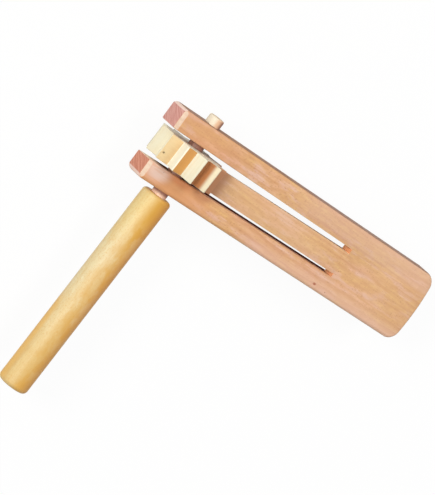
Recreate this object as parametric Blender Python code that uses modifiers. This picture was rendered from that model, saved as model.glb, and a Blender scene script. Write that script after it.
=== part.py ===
"""Wooden ratchet: a forked beech board with a springy tongue, and a cog on a spindle with a long handle.

The board lies flat with its front face up. X runs along the board from the arms' free ends to the solid
end, Y runs along the spindle towards its peg end, and Z points out of the front face. Metres.
"""

import math

import bmesh
import bpy
from mathutils import Vector

MM = 0.001
FIT_GAP = 0.3 * MM

# Forked board
BOARD_LENGTH = 281.9 * MM
BOARD_THICKNESS = 17 * MM
BOARD_LOW_EDGE = -27.8 * MM
BOARD_HIGH_EDGE_AT_ARMS = 26.4 * MM
BOARD_HIGH_EDGE_AT_TAIL = 26.0 * MM
TAIL_CORNER_RADIUS = 8 * MM
TAIL_END_RADIUS = 149 * MM
TAIL_END_MIDDLE = -10 * MM
LONG_EDGE_ROUND = 3.0 * MM
ARM_END_CHAMFER = 2.5 * MM
ROOT_X = 195 * MM
HIGH_ARM_INNER_AT_END = 11.4 * MM
HIGH_ARM_INNER_AT_ROOT = 10.3 * MM
LOW_ARM_INNER_AT_END = -14.4 * MM
LOW_ARM_INNER_AT_ROOT = -13.2 * MM

# Tongue, sawn from the same board and thinned from the back towards its tip
TONGUE_ROOT_THICKNESS = 8.9 * MM
TONGUE_TIP_THICKNESS = 3.5 * MM
TONGUE_HIGH_EDGE_AT_TIP = 6.2 * MM
TONGUE_HIGH_EDGE_AT_ROOT = 6.8 * MM
TONGUE_LOW_EDGE_AT_TIP = -10.7 * MM
TONGUE_LOW_EDGE_AT_ROOT = -10.6 * MM
TIP_CLEARANCE = 0.4 * MM
RELIEF_RUN_OUT = 24 * MM
RELIEF_STEPS = 6

# Cog wheel
SPINDLE_X = 31.7 * MM
COG_RADIUS = 26.5 * MM
COG_ROOT_RADIUS = 19.8 * MM
COG_LOW_FACE = -11.3 * MM
COG_HIGH_FACE = 7.8 * MM
COG_TEETH = 11
FIRST_TIP_ANGLE = math.radians(-79.4)
TIP_WIDTH_ANGLE = math.radians(2.2)
FALL_ANGLE = math.radians(14.4)
COG_EDGE_ROUND = 0.4 * MM

# Spindle, handle and fixing pin
SPINDLE_RADIUS = 5.6 * MM
PEG_TOP = 32.5 * MM
PEG_ROUND = 1.2 * MM
HANDLE_RADIUS = 11 * MM
HANDLE_TOP = -31.7 * MM
HANDLE_BOTTOM = -190.9 * MM
HANDLE_TOP_ROUND = 2.6 * MM
HANDLE_BOTTOM_ROUND = 3.4 * MM
SOCKET_DEPTH = 28 * MM
PIN_RADIUS = 0.7 * MM
PIN_END_RADIUS = 22.6 * MM
PIN_ANGLE = math.radians(-76.7)
PIN_Y = -5.7 * MM
PIN_DEPTH_IN_SPINDLE = 3 * MM

TURNED_STEPS = 40
PIN_STEPS = 16
ROUND_STEPS = 5
CORNER_STEPS = 8
TAIL_END_STEPS = 6
CUTTER_SPARE = 10 * MM
HALF = BOARD_THICKNESS / 2
TIP_X = SPINDLE_X + math.sqrt((COG_RADIUS + TIP_CLEARANCE) ** 2 - HALF ** 2)

# The origin is under the middle of the part's box, at the level of the cog's lowest tooth. The lowest point
# of that tooth's flat tip is where the rounding of its first corner ends.
LOWEST_CORNER = FIRST_TIP_ANGLE + 8 * math.tau / COG_TEETH - TIP_WIDTH_ANGLE - math.pi
LOWEST_TIP_TILT = LOWEST_CORNER + TIP_WIDTH_ANGLE / 2
COG_REACH = COG_RADIUS * math.cos(LOWEST_CORNER) - COG_EDGE_ROUND * math.sin(LOWEST_TIP_TILT)
PART_ORIGIN = Vector((-BOARD_LENGTH / 2, -(PEG_TOP + HANDLE_BOTTOM) / 2, COG_REACH))


def clear_scene():
    for obj in list(bpy.data.objects):
        bpy.data.objects.remove(obj, do_unlink=True)


def new_collection(name):
    collection = bpy.data.collections.new(name)
    bpy.context.scene.collection.children.link(collection)
    return collection


def material(name, colour, roughness, metallic=0.0):
    made = bpy.data.materials.new(name)
    made.use_nodes = True
    shader = made.node_tree.nodes["Principled BSDF"]
    shader.inputs["Base Color"].default_value = (*colour, 1)
    shader.inputs["Roughness"].default_value = roughness
    shader.inputs["Metallic"].default_value = metallic
    return made


def add_object(name, mesh, collection, parent=None, location=(0, 0, 0), rotation=(0, 0, 0)):
    obj = bpy.data.objects.new(name, mesh)
    collection.objects.link(obj)
    obj.parent = parent
    obj.location = location
    obj.rotation_euler = rotation
    return obj


def add_empty(name, collection, parent=None, location=(0, 0, 0)):
    return add_object(name, None, collection, parent, location)


def arc(centre, radius, start, end, steps):
    """Points of an arc in degrees, both ends included."""
    angles = [math.radians(start + (end - start) * i / steps) for i in range(steps + 1)]
    return [(centre[0] + radius * math.cos(a), centre[1] + radius * math.sin(a)) for a in angles]


def plate_mesh(name, outline, thickness):
    """A flat outline in XY, filled and extruded to the thickness, as a mesh with plain caps."""
    curve = bpy.data.curves.new(name, "CURVE")
    curve.dimensions = "2D"
    curve.fill_mode = "BOTH"
    curve.extrude = thickness / 2
    spline = curve.splines.new("POLY")
    spline.points.add(len(outline) - 1)
    for point, (x, y) in zip(spline.points, outline):
        point.co = (x, y, 0, 1)
    spline.use_cyclic_u = True
    guide = bpy.data.objects.new(name + "_outline", curve)
    bpy.context.scene.collection.objects.link(guide)
    bpy.context.view_layer.update()
    evaluated = guide.evaluated_get(bpy.context.evaluated_depsgraph_get())
    mesh = bpy.data.meshes.new_from_object(evaluated)
    mesh.name = name
    bpy.data.objects.remove(guide, do_unlink=True)
    shape = bmesh.new()
    shape.from_mesh(mesh)
    bmesh.ops.remove_doubles(shape, verts=shape.verts, dist=0.01 * MM)
    bmesh.ops.dissolve_limit(shape, angle_limit=math.radians(0.5), verts=shape.verts, edges=shape.edges)
    bmesh.ops.recalc_face_normals(shape, faces=shape.faces)
    shape.to_mesh(mesh)
    shape.free()
    return mesh


def turned_mesh(name, profile):
    """A mesh of (radius, height) points, for a Screw modifier about the local Z axis."""
    shape = bmesh.new()
    points = [shape.verts.new((radius, 0, height)) for radius, height in profile]
    for first, second in zip(points, points[1:]):
        shape.edges.new((first, second))
    mesh = bpy.data.meshes.new(name)
    shape.to_mesh(mesh)
    shape.free()
    return mesh


def add_screw(obj, steps=TURNED_STEPS):
    screw = obj.modifiers.new("Turn", "SCREW")
    screw.steps = steps
    screw.render_steps = steps
    screw.use_merge_vertices = True
    screw.merge_threshold = 0.00001
    screw.use_smooth_shade = True


def add_bevel(obj, width, segments, by_weight=False):
    bevel = obj.modifiers.new("Soft edges", "BEVEL")
    bevel.width = width
    bevel.segments = segments
    bevel.use_clamp_overlap = False
    bevel.limit_method = "WEIGHT" if by_weight else "ANGLE"
    bevel.angle_limit = math.radians(40)


def cut(target, cutter):
    boolean = target.modifiers.new("Cut " + cutter.name, "BOOLEAN")
    boolean.operation = "DIFFERENCE"
    boolean.solver = "EXACT"
    boolean.object = cutter


def add_cutter(name, mesh, parent, location=(0, 0, 0), rotation=(0, 0, 0)):
    cutter = add_object(name, mesh, CUTTERS, parent, location, rotation)
    cutter.hide_render = True
    cutter.display_type = "WIRE"
    return cutter


def rod_mesh(name, radius, length, sides):
    """A capped cylinder about Z, centred."""
    shape = bmesh.new()
    bmesh.ops.create_cone(
        shape, cap_ends=True, segments=sides, radius1=radius, radius2=radius, depth=length
    )
    mesh = bpy.data.meshes.new(name)
    shape.to_mesh(mesh)
    shape.free()
    return mesh


ALONG_Y = (-math.pi / 2, 0, 0)


def tail_corner(y):
    """Where a tail corner's arc has its centre, and the angle at which it meets the bowed end."""
    reach = TAIL_END_RADIUS - TAIL_CORNER_RADIUS
    off_middle = y - TAIL_END_MIDDLE
    x = BOARD_LENGTH - TAIL_END_RADIUS + math.sqrt(reach**2 - off_middle**2)
    return (x, y), math.degrees(math.asin(off_middle / reach))


def board_outline():
    """The fork, anticlockwise from the high arm's inner corner at its free end. The tail's end is a little bowed."""
    radius = TAIL_CORNER_RADIUS
    low_centre, low_angle = tail_corner(BOARD_LOW_EDGE + radius)
    high_centre, high_angle = tail_corner(BOARD_HIGH_EDGE_AT_TAIL - radius)
    end_centre = (BOARD_LENGTH - TAIL_END_RADIUS, TAIL_END_MIDDLE)
    points = [
        (0, HIGH_ARM_INNER_AT_END),
        (ROOT_X, HIGH_ARM_INNER_AT_ROOT),
        (ROOT_X, LOW_ARM_INNER_AT_ROOT),
        (0, LOW_ARM_INNER_AT_END),
        (0, BOARD_LOW_EDGE),
    ]
    points += arc(low_centre, radius, -90, low_angle, CORNER_STEPS)
    points += arc(end_centre, TAIL_END_RADIUS, low_angle, high_angle, TAIL_END_STEPS)[1:-1]
    points += arc(high_centre, radius, high_angle, 90, CORNER_STEPS)
    points.append((0, BOARD_HIGH_EDGE_AT_ARMS))
    return points


def weigh_outer_rims(mesh):
    """Marks the board's outer front and back rims for rounding. The arm ends and inner edges stay sharp."""
    near = 0.01 * MM
    shape = bmesh.new()
    shape.from_mesh(mesh)
    weight = shape.edges.layers.float.new("bevel_weight_edge")
    for edge in shape.edges:
        middle = (edge.verts[0].co + edge.verts[1].co) / 2
        on_rim = abs(abs(middle.z) - HALF) < near
        at_arm_end = abs(middle.x) < near
        inner = middle.x < ROOT_X + near and LOW_ARM_INNER_AT_END < middle.y < HIGH_ARM_INNER_AT_END
        edge[weight] = 1.0 if on_rim and not at_arm_end and not inner else 0.0
    shape.to_mesh(mesh)
    shape.free()


def make_board(base, finish):
    mesh = plate_mesh("frame_block", board_outline(), BOARD_THICKNESS)
    weigh_outer_rims(mesh)
    mesh.materials.append(finish)
    board = add_object("frame_block", mesh, PARTS, base)
    add_bevel(board, LONG_EDGE_ROUND, 3, by_weight=True)

    reach = 2 * (BOARD_HIGH_EDGE_AT_ARMS + CUTTER_SPARE)
    chamfer_mesh = rod_mesh("arm_end_chamfer", ARM_END_CHAMFER, reach, 4)
    cut(board, add_cutter("arm_end_chamfer", chamfer_mesh, base, (0, 0, HALF), ALONG_Y))

    bore_mesh = rod_mesh("spindle_bore", SPINDLE_RADIUS + FIT_GAP, reach, TURNED_STEPS)
    cut(board, add_cutter("spindle_bore", bore_mesh, base, (SPINDLE_X, 0, 0), ALONG_Y))

    # Behind the tongue's root the saw cut that thins it runs out through the board's back face.
    depth_at_root = TONGUE_ROOT_THICKNESS - HALF
    past_back = HALF + CUTTER_SPARE
    run = RELIEF_RUN_OUT / RELIEF_STEPS
    rise = HALF - depth_at_root
    ramp = [(ROOT_X - CUTTER_SPARE, past_back), (ROOT_X - CUTTER_SPARE, depth_at_root)]
    for step in range(RELIEF_STEPS + 1):
        eased = math.sin(0.5 * math.pi * step / RELIEF_STEPS)
        ramp.append((ROOT_X + run * step, depth_at_root + rise * eased))
    ramp.append((ROOT_X + RELIEF_RUN_OUT, past_back))
    ramp_width = HIGH_ARM_INNER_AT_ROOT - LOW_ARM_INNER_AT_ROOT
    ramp_middle = (HIGH_ARM_INNER_AT_ROOT + LOW_ARM_INNER_AT_ROOT) / 2
    ramp_mesh = plate_mesh("tongue_relief", ramp, ramp_width)
    cut(board, add_cutter("tongue_relief", ramp_mesh, base, (0, ramp_middle, 0), ALONG_Y))
    return board


def make_tongue(base, finish):
    """A slat that tapers to its tip, with its origin on the line where it bends."""
    root_x = ROOT_X - FIT_GAP
    bend = Vector((root_x, 0, HALF - TONGUE_ROOT_THICKNESS / 2))
    tip_back = HALF - TONGUE_TIP_THICKNESS
    tip_back_x = SPINDLE_X + math.sqrt((COG_RADIUS + TIP_CLEARANCE) ** 2 - tip_back ** 2)
    shape = bmesh.new()
    bmesh.ops.create_cube(shape, size=2)
    for vert in shape.verts:
        at_root, high, front = (value > 0 for value in vert.co)
        if at_root:
            x = root_x
            y = TONGUE_HIGH_EDGE_AT_ROOT if high else TONGUE_LOW_EDGE_AT_ROOT
            z = HALF if front else HALF - TONGUE_ROOT_THICKNESS
        else:
            x = TIP_X if front else tip_back_x
            y = TONGUE_HIGH_EDGE_AT_TIP if high else TONGUE_LOW_EDGE_AT_TIP
            z = HALF if front else tip_back
        vert.co = Vector((x, y, z)) - bend
    mesh = bpy.data.meshes.new("tongue")
    shape.to_mesh(mesh)
    shape.free()
    mesh.materials.append(finish)
    return add_object("tongue", mesh, PARTS, base, bend)


def cog_outline():
    """Pointed teeth with narrow flat tips. Angles run from +Z towards +X, as seen along the spindle."""
    pitch = math.tau / COG_TEETH
    points = []
    for tooth in range(COG_TEETH):
        tip = FIRST_TIP_ANGLE + tooth * pitch
        corners = [(COG_RADIUS, tip - TIP_WIDTH_ANGLE), (COG_RADIUS, tip), (COG_ROOT_RADIUS, tip + FALL_ANGLE)]
        points += [(radius * math.sin(a), -radius * math.cos(a)) for radius, a in corners]
    return points


def make_cog(axis, finish, pin_hole):
    thickness = COG_HIGH_FACE - COG_LOW_FACE
    middle = (COG_HIGH_FACE + COG_LOW_FACE) / 2
    mesh = plate_mesh("cog_wheel", cog_outline(), thickness)
    mesh.materials.append(finish)
    cog = add_object("cog_wheel", mesh, PARTS, axis, (0, middle, 0), ALONG_Y)
    add_bevel(cog, COG_EDGE_ROUND, 2)
    bore_mesh = rod_mesh("cog_bore", SPINDLE_RADIUS + FIT_GAP, 2 * thickness, TURNED_STEPS)
    cut(cog, add_cutter("cog_bore", bore_mesh, axis, (0, middle, 0), ALONG_Y))
    cut(cog, pin_hole)
    return cog


def make_spindle(axis, finish, pin_hole):
    bottom = HANDLE_TOP - SOCKET_DEPTH + FIT_GAP
    top_arc = arc((SPINDLE_RADIUS - PEG_ROUND, PEG_TOP - PEG_ROUND), PEG_ROUND, 90, 0, ROUND_STEPS)
    profile = [(0, PEG_TOP), *top_arc, (SPINDLE_RADIUS, bottom), (0, bottom)]
    mesh = turned_mesh("spindle", profile)
    mesh.materials.append(finish)
    spindle = add_object("spindle", mesh, PARTS, axis, (0, 0, 0), ALONG_Y)
    add_screw(spindle)
    cut(spindle, pin_hole)
    return spindle


def make_handle(axis, finish):
    """A straight turned grip with soft ends and a socket for the spindle."""
    socket = SPINDLE_RADIUS + FIT_GAP
    top_centre = (HANDLE_RADIUS - HANDLE_TOP_ROUND, HANDLE_TOP - HANDLE_TOP_ROUND)
    bottom_centre = (HANDLE_RADIUS - HANDLE_BOTTOM_ROUND, HANDLE_BOTTOM + HANDLE_BOTTOM_ROUND)
    profile = [
        (0, HANDLE_TOP - SOCKET_DEPTH),
        (socket, HANDLE_TOP - SOCKET_DEPTH),
        (socket, HANDLE_TOP),
        *arc(top_centre, HANDLE_TOP_ROUND, 90, 0, ROUND_STEPS),
        *arc(bottom_centre, HANDLE_BOTTOM_ROUND, 0, -90, ROUND_STEPS),
        (0, HANDLE_BOTTOM),
    ]
    mesh = turned_mesh("handle", profile)
    mesh.materials.append(finish)
    handle = add_object("handle", mesh, PARTS, axis, (0, 0, 0), ALONG_Y)
    add_screw(handle)
    return handle


def radial_place(radius):
    """A point on the pin's line at this distance from the spindle's axis."""
    return Vector((radius * math.sin(PIN_ANGLE), PIN_Y, radius * math.cos(PIN_ANGLE)))


def make_pin_hole(axis):
    inner = SPINDLE_RADIUS - PIN_DEPTH_IN_SPINDLE - FIT_GAP
    length = COG_RADIUS - inner
    mesh = rod_mesh("pin_hole", PIN_RADIUS + FIT_GAP, length, PIN_STEPS)
    return add_cutter("pin_hole", mesh, axis, radial_place(inner + length / 2), (0, PIN_ANGLE, 0))


def make_pin(axis, finish):
    """A headless nail, sunk through a tooth's side into the spindle, so that the cog turns with it."""
    inner = SPINDLE_RADIUS - PIN_DEPTH_IN_SPINDLE
    profile = [
        (0, PIN_END_RADIUS),
        (PIN_RADIUS, PIN_END_RADIUS),
        (PIN_RADIUS, inner + 2 * PIN_RADIUS),
        (0, inner),
    ]
    mesh = turned_mesh("cog_pin", profile)
    mesh.materials.append(finish)
    pin = add_object("cog_pin", mesh, PARTS, axis, (0, PIN_Y, 0), (0, PIN_ANGLE, 0))
    add_screw(pin, PIN_STEPS)
    return pin


clear_scene()
PARTS = new_collection("wooden_ratchet")
CUTTERS = new_collection("cutters")

BEECH = material("beech", (0.72, 0.40, 0.21), 0.55)
LIMEWOOD = material("limewood", (0.90, 0.78, 0.52), 0.55)
SPINDLE_BEECH = material("spindle_beech", (0.70, 0.42, 0.26), 0.6)
VARNISHED = material("varnished_pine", (0.88, 0.58, 0.18), 0.3)
STEEL = material("steel", (0.35, 0.32, 0.28), 0.45, 1.0)

BASE = add_empty("board_corner", PARTS, None, PART_ORIGIN)
AXIS = add_empty("spindle_axis", PARTS, BASE, (SPINDLE_X, 0, 0))
PIN_HOLE = make_pin_hole(AXIS)
make_board(BASE, BEECH)
make_tongue(BASE, BEECH)
make_cog(AXIS, LIMEWOOD, PIN_HOLE)
make_spindle(AXIS, SPINDLE_BEECH, PIN_HOLE)
make_handle(AXIS, VARNISHED)
make_pin(AXIS, STEEL)
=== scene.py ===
import math

import bmesh
import bpy
from mathutils import Matrix, Vector


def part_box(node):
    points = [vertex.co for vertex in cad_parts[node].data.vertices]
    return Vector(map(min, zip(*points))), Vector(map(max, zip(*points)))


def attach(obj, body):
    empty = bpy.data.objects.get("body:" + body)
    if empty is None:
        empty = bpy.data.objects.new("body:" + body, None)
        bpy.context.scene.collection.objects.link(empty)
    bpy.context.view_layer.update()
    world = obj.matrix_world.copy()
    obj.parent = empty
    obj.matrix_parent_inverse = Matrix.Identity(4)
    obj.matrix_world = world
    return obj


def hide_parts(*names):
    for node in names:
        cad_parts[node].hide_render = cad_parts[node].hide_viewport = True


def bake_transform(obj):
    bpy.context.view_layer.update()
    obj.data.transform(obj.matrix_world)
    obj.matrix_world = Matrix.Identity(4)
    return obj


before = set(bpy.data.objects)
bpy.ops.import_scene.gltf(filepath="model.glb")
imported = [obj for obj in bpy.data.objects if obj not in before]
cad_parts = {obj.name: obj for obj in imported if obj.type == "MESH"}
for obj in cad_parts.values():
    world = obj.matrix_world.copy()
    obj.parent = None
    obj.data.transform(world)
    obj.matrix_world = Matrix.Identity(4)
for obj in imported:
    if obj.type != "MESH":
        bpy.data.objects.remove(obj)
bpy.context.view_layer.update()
MM = 0.001

# Places of the pieces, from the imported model, in metres
BOARD_LOW, BOARD_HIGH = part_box("frame_block")
TONGUE_LOW, TONGUE_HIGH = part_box("tongue")
COG_LOW, COG_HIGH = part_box("cog_wheel")
SPINDLE_LOW, SPINDLE_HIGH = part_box("spindle")
HANDLE_LOW, HANDLE_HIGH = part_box("handle")
AXIS_X = (SPINDLE_LOW.x + SPINDLE_HIGH.x) / 2
AXIS_Z = (SPINDLE_LOW.z + SPINDLE_HIGH.z) / 2
MID_Y = BOARD_LOW.y + 27.8 * MM
FRONT_Z = BOARD_HIGH.z
BACK_Z = BOARD_LOW.z
ARM_END_X = BOARD_LOW.x
ROOT_X = ARM_END_X + 195 * MM

# Board and tongue
TAIL_NARROWING = 0.4 * MM
TAIL_END_RADIUS = 149 * MM
TAIL_END_MIDDLE = MID_Y - 10 * MM
TAIL_CORNER = 8 * MM
TAIL_CUTS = 15
OUTER_ROUND = 3.0 * MM
ARM_CHAMFER = 2.5 * MM
ARM_END_SLANT = 1.8 * MM
ARM_END_ROUND = 3.2 * MM
HIGH_ARM_INNER = (11.4 * MM, 10.3 * MM)
LOW_ARM_INNER = (-14.4 * MM, -13.2 * MM)
FORK_HALF_WIDTH = 16 * MM
TONGUE_HIGH_EDGE = (6.2 * MM, 6.8 * MM)
TONGUE_LOW_EDGE = (-10.7 * MM, -10.6 * MM)
TONGUE_ROOT_THICKNESS = 8.9 * MM
TONGUE_TIP_THICKNESS = 3.5 * MM
TONGUE_TIP_SLANT = 0.91 * MM
TONGUE_CUTS = 39
RELIEF_LENGTH = 24 * MM
RELIEF_STEPS = 12
INNER_ROUND = 1.0 * MM
FORK_ARRIS = 0.3 * MM
SPARE = 10 * MM

# Turned pieces
ROD_SIDES = 80
HANDLE_SIDES = 112
NAIL_SIDES = 24
SPINDLE_RADIUS = 5.6 * MM
BORE_RADIUS = 5.9 * MM
PEG_ROUND = 1.2 * MM
HANDLE_RADIUS = 11 * MM
HANDLE_TOP_ROUND = 2.6 * MM
HANDLE_END_ROUND = 3.4 * MM
SOCKET_DEPTH = 28 * MM
COG_RADIUS = 26.47 * MM
COG_ROOT_RADIUS = 19.8 * MM
COG_TEETH = 11
TIP_ANGLE = math.radians(-79.4)
TIP_WIDTH = math.radians(2.2)
FALL = math.radians(16.2)
COG_EDGE_ROUND = 0.4 * MM
COG_BORE_REACH = 8 * MM
NAIL_RADIUS = 0.55 * MM
NAIL_ANGLE = math.radians(-76.7)
NAIL_Y = MID_Y - 5.7 * MM
NAIL_END = 22.6 * MM
NAIL_POINT = 2.6 * MM
NAIL_TAPER = 1.4 * MM
NAIL_GAP = 0.1 * MM
NAIL_END_ROUND = 0.22 * MM
NAIL_POINT_SCALE = 0.2

# Camera, in board axes
VIEW_YAW = math.radians(43.03)
VIEW_RISE = math.radians(5.23)
VIEW_ROLL = math.radians(52.24)
VIEW_DISTANCE = 2.8
LENS = 347.6
SENSOR_WIDTH = 36
VIEW_MIDDLE = Vector((ARM_END_X + 100 * MM, MID_Y - 40 * MM, AXIS_Z))
VIEW_SHIFT_RIGHT = 1.9 * MM
VIEW_SHIFT_DOWN = 0.7 * MM

# Light and floor
LIGHT_MIDDLE = Vector((ARM_END_X + 90 * MM, MID_Y - 30 * MM, AXIS_Z))
ROOM_BRIGHT_SIDE = Vector((-0.7, 0.15, 0.35)).normalized()
ROOM_DIM = 0.3
ROOM_BRIGHT = 0.46
WHITE = (1, 1, 1, 1)
FLOOR_GREY = (0.55, 0.55, 0.55, 1)
FLOOR_GLOW = 0.94
FLOOR_SIZE = 12
FLOOR_DROP = 0.4 * MM

# Finishes: the grain's turn on the spindle's axis, the slant of the rays on cut ends, and the turned
# pieces' sides away from the key light and towards it
ACROSS_TURN = (0, 0, -math.pi / 2)
RAY_SLANT = math.radians(-39)
SHADED_SIDE = (0.73, 0, 0.68)
LIT_SIDE = (-0.73, 0, -0.68)


def put_down_tools():
    if bpy.context.mode != "OBJECT":
        bpy.ops.object.mode_set(mode="OBJECT")
    bpy.ops.object.select_all(action="DESELECT")


def take_up(piece):
    put_down_tools()
    bpy.context.view_layer.objects.active = piece
    piece.select_set(True)


def settle(name):
    """Names the new piece and puts its place, turn and size into its mesh."""
    piece = bpy.context.object
    piece.name = piece.data.name = name
    bpy.ops.object.transform_apply(location=True, rotation=True, scale=True)
    return piece


def block(name, low, high):
    put_down_tools()
    low, high = Vector(low), Vector(high)
    bpy.ops.mesh.primitive_cube_add(size=1, location=(low + high) / 2, scale=high - low)
    return settle(name)


def rod(name, radius, low_y, high_y, sides):
    """A round rod along the spindle's axis."""
    put_down_tools()
    bpy.ops.mesh.primitive_cylinder_add(
        vertices=sides,
        radius=radius,
        depth=high_y - low_y,
        location=(AXIS_X, (low_y + high_y) / 2, AXIS_Z),
        rotation=(-math.pi / 2, 0, 0),
    )
    return settle(name)


def pick(piece, kind, wanted):
    """Selects corners by place, edges by middle and direction, or faces by middle and normal.

    The piece stays in edit mode.
    """
    take_up(piece)
    bpy.ops.object.mode_set(mode="EDIT")
    bpy.ops.mesh.select_mode(type=kind)
    bpy.ops.mesh.select_all(action="DESELECT")
    shape = bmesh.from_edit_mesh(piece.data)
    shape.normal_update()
    if kind == "VERT":
        for vert in shape.verts:
            if wanted(vert.co):
                vert.select_set(True)
    elif kind == "EDGE":
        for edge in shape.edges:
            first, second = (vert.co for vert in edge.verts)
            if wanted((first + second) / 2, (second - first).normalized()):
                edge.select_set(True)
    else:
        for face in shape.faces:
            if wanted(face.calc_center_median(), face.normal):
                face.select_set(True)
    shape.select_flush_mode()
    bmesh.update_edit_mesh(piece.data)


def move(offset):
    bpy.ops.transform.translate(value=offset)


def extrude(offset):
    bpy.ops.mesh.extrude_region_move(TRANSFORM_OT_translate={"value": offset})


def bevel(width, segments):
    bpy.ops.mesh.bevel(offset=width, segments=segments, affect="EDGES")


def plane_away(place, way):
    """Cuts off what lies beyond a plane, on the piece in edit mode."""
    bpy.ops.mesh.select_all(action="SELECT")
    bpy.ops.mesh.bisect(plane_co=place, plane_no=way, use_fill=True, clear_outer=True)


def near(value, target, gap=0.02 * MM):
    return abs(value - target) < gap


def on_rim(place):
    """Whether this lies in the board's front or back face."""
    return near(place.z, FRONT_Z) or near(place.z, BACK_Z)


def inside_fork(place):
    return abs(place.y - MID_Y) < FORK_HALF_WIDTH


def saw_away(piece, cutter):
    """Takes the cutter's shape out of the piece."""
    take_up(piece)
    saw = piece.modifiers.new("saw", "BOOLEAN")
    saw.operation = "DIFFERENCE"
    saw.solver = "EXACT"
    saw.object = cutter
    bpy.ops.object.modifier_apply(modifier=saw.name)
    bpy.data.objects.remove(cutter, do_unlink=True)


def sand_arrises(piece, width, segments, angle, spared=None):
    """Rounds every arris sharper than the angle, apart from the spared ones."""
    take_up(piece)
    bpy.ops.object.mode_set(mode="EDIT")
    bpy.ops.mesh.select_mode(type="EDGE")
    bpy.ops.mesh.select_all(action="DESELECT")
    shape = bmesh.from_edit_mesh(piece.data)
    shape.normal_update()
    for edge in shape.edges:
        middle = (edge.verts[0].co + edge.verts[1].co) / 2
        if edge.calc_face_angle(0) > math.radians(angle) and not (spared and spared(middle)):
            edge.select_set(True)
    bmesh.update_edit_mesh(piece.data)
    bevel(width, segments)
    put_down_tools()


def merge_close(piece, gap):
    pick(piece, "VERT", lambda co: True)
    bpy.ops.mesh.remove_doubles(threshold=gap)
    put_down_tools()


def smooth_faces(piece, angle=32):
    take_up(piece)
    bpy.ops.object.shade_smooth_by_angle(angle=math.radians(angle))


def spindle_bore(radius, low_y, high_y):
    return rod("bore_drill", radius, low_y, high_y, ROD_SIDES)


# Forked board
def fork_cutter():
    """The tapering gap between the arms, with the cut that runs out in a curve behind the tongue."""
    cutter = block(
        "fork_saw",
        (ARM_END_X - SPARE, MID_Y + LOW_ARM_INNER[1], BACK_Z - SPARE),
        (ROOT_X, MID_Y + HIGH_ARM_INNER[1], FRONT_Z + SPARE),
    )
    reach = 1 + SPARE / (ROOT_X - ARM_END_X)
    for at_end, at_root in (HIGH_ARM_INNER, LOW_ARM_INNER):
        pick(cutter, "VERT", lambda co: co.x < ARM_END_X and near(co.y, MID_Y + at_root))
        move((0, (at_end - at_root) * reach, 0))
    depth = FRONT_Z - TONGUE_ROOT_THICKNESS
    bpy.ops.mesh.select_all(action="SELECT")
    bpy.ops.mesh.bisect(plane_co=(ROOT_X, MID_Y, depth), plane_no=(0, 0, 1))
    pick(cutter, "FACE", lambda middle, normal: normal.x > 0.9 and middle.z < depth)
    for _ in range(RELIEF_STEPS):
        extrude((RELIEF_LENGTH / RELIEF_STEPS, 0, 0))
    for step in range(1, RELIEF_STEPS + 1):
        along = step / RELIEF_STEPS
        at_x = ROOT_X + RELIEF_LENGTH * along
        pick(cutter, "VERT", lambda co: near(co.x, at_x) and near(co.z, depth))
        move((0, 0, -(depth - BACK_Z) * math.sin(0.5 * math.pi * along)))
    put_down_tools()
    return cutter


def bow_tail(board):
    """Bends the tail's end, with its rounded corners, into a shallow arc."""
    pick(board, "EDGE", lambda middle, way: near(middle.x, BOARD_HIGH.x) and abs(way.y) > 0.9)
    bpy.ops.mesh.subdivide(number_cuts=TAIL_CUTS)
    put_down_tools()
    corners_start = BOARD_HIGH.x - TAIL_CORNER - 0.5 * MM
    places = [vert.co for vert in board.data.vertices if vert.co.x > corners_start]
    levels = {(round(co.x, 6), round(co.y, 6)) for co in places}
    for at_x, at_y in levels:
        sag = TAIL_END_RADIUS - math.sqrt(TAIL_END_RADIUS**2 - (at_y - TAIL_END_MIDDLE) ** 2)
        pick(board, "VERT", lambda co: near(co.x, at_x) and near(co.y, at_y))
        move((-sag, 0, 0))
    put_down_tools()


def round_arm_ends():
    """Cuts the outer corners of both arms' ends round, in three flats each, in edit mode."""
    high_corner = Vector((ARM_END_X, BOARD_HIGH.y, FRONT_Z))
    low_corner = Vector((ARM_END_X + ARM_END_SLANT, BOARD_LOW.y, FRONT_Z))
    for corner, outward in ((high_corner, 1), (low_corner, -1)):
        middle = corner + Vector((ARM_END_ROUND, -outward * ARM_END_ROUND, 0))
        for angle in (22.5, 45, 67.5):
            way = Vector((-math.cos(math.radians(angle)), outward * math.sin(math.radians(angle)), 0))
            plane_away(middle + way * ARM_END_ROUND, way)


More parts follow.
